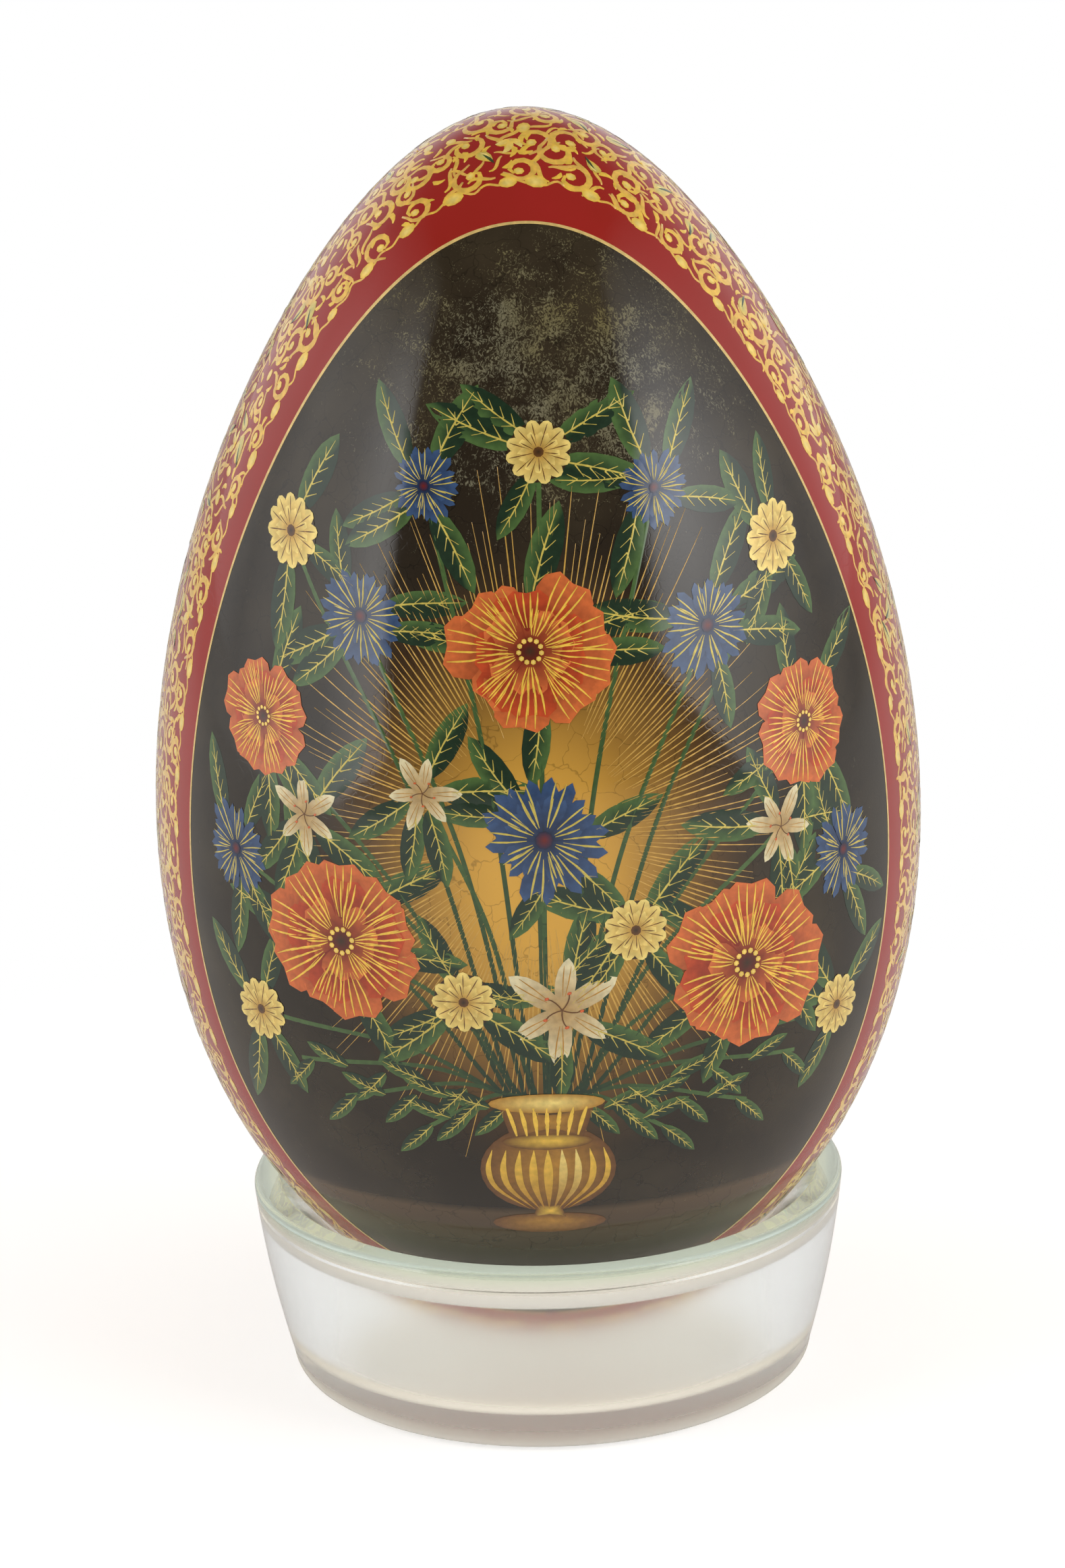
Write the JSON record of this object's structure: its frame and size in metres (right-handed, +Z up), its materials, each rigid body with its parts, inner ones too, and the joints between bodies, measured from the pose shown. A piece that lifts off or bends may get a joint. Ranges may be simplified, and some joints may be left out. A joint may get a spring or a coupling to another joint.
{
  "type": "lacquered easter egg on stand",
  "caption": "Hollow lacquered papier-mache Easter egg with a painted front panel and gold scrollwork, standing loose in a thick round pressed-glass dish.",
  "frame": {"origin": "on the table, under the middle of the glass dish's foot ring", "axes": "+Z up along the egg's axis from blunt end to tip; the painted front panel faces -Y"},
  "size_m": [0.09, 0.09, 0.1524],
  "materials": {
    "pressed_glass": "thick colourless pressed glass with a faint green tint, polished flat rim",
    "painted_lacquer": "papier-mache under glossy red lacquer with gold ornament and an umber picture panel, fine age crackle",
    "paper_board": "bare pressed board, matt"
  },
  "bodies": {
    "stand": {"glass_dish": "pressed_glass"},
    "egg": {"lower_shell": "painted_lacquer", "upper_shell": "painted_lacquer", "joint_hoop": "paper_board"}
  },
  "joints": [
    {"name": "egg_lift", "type": "slide", "parent": "stand", "child": "egg", "axis": [0, 0, 1], "range_m": [0, 0.06]}
  ]
}
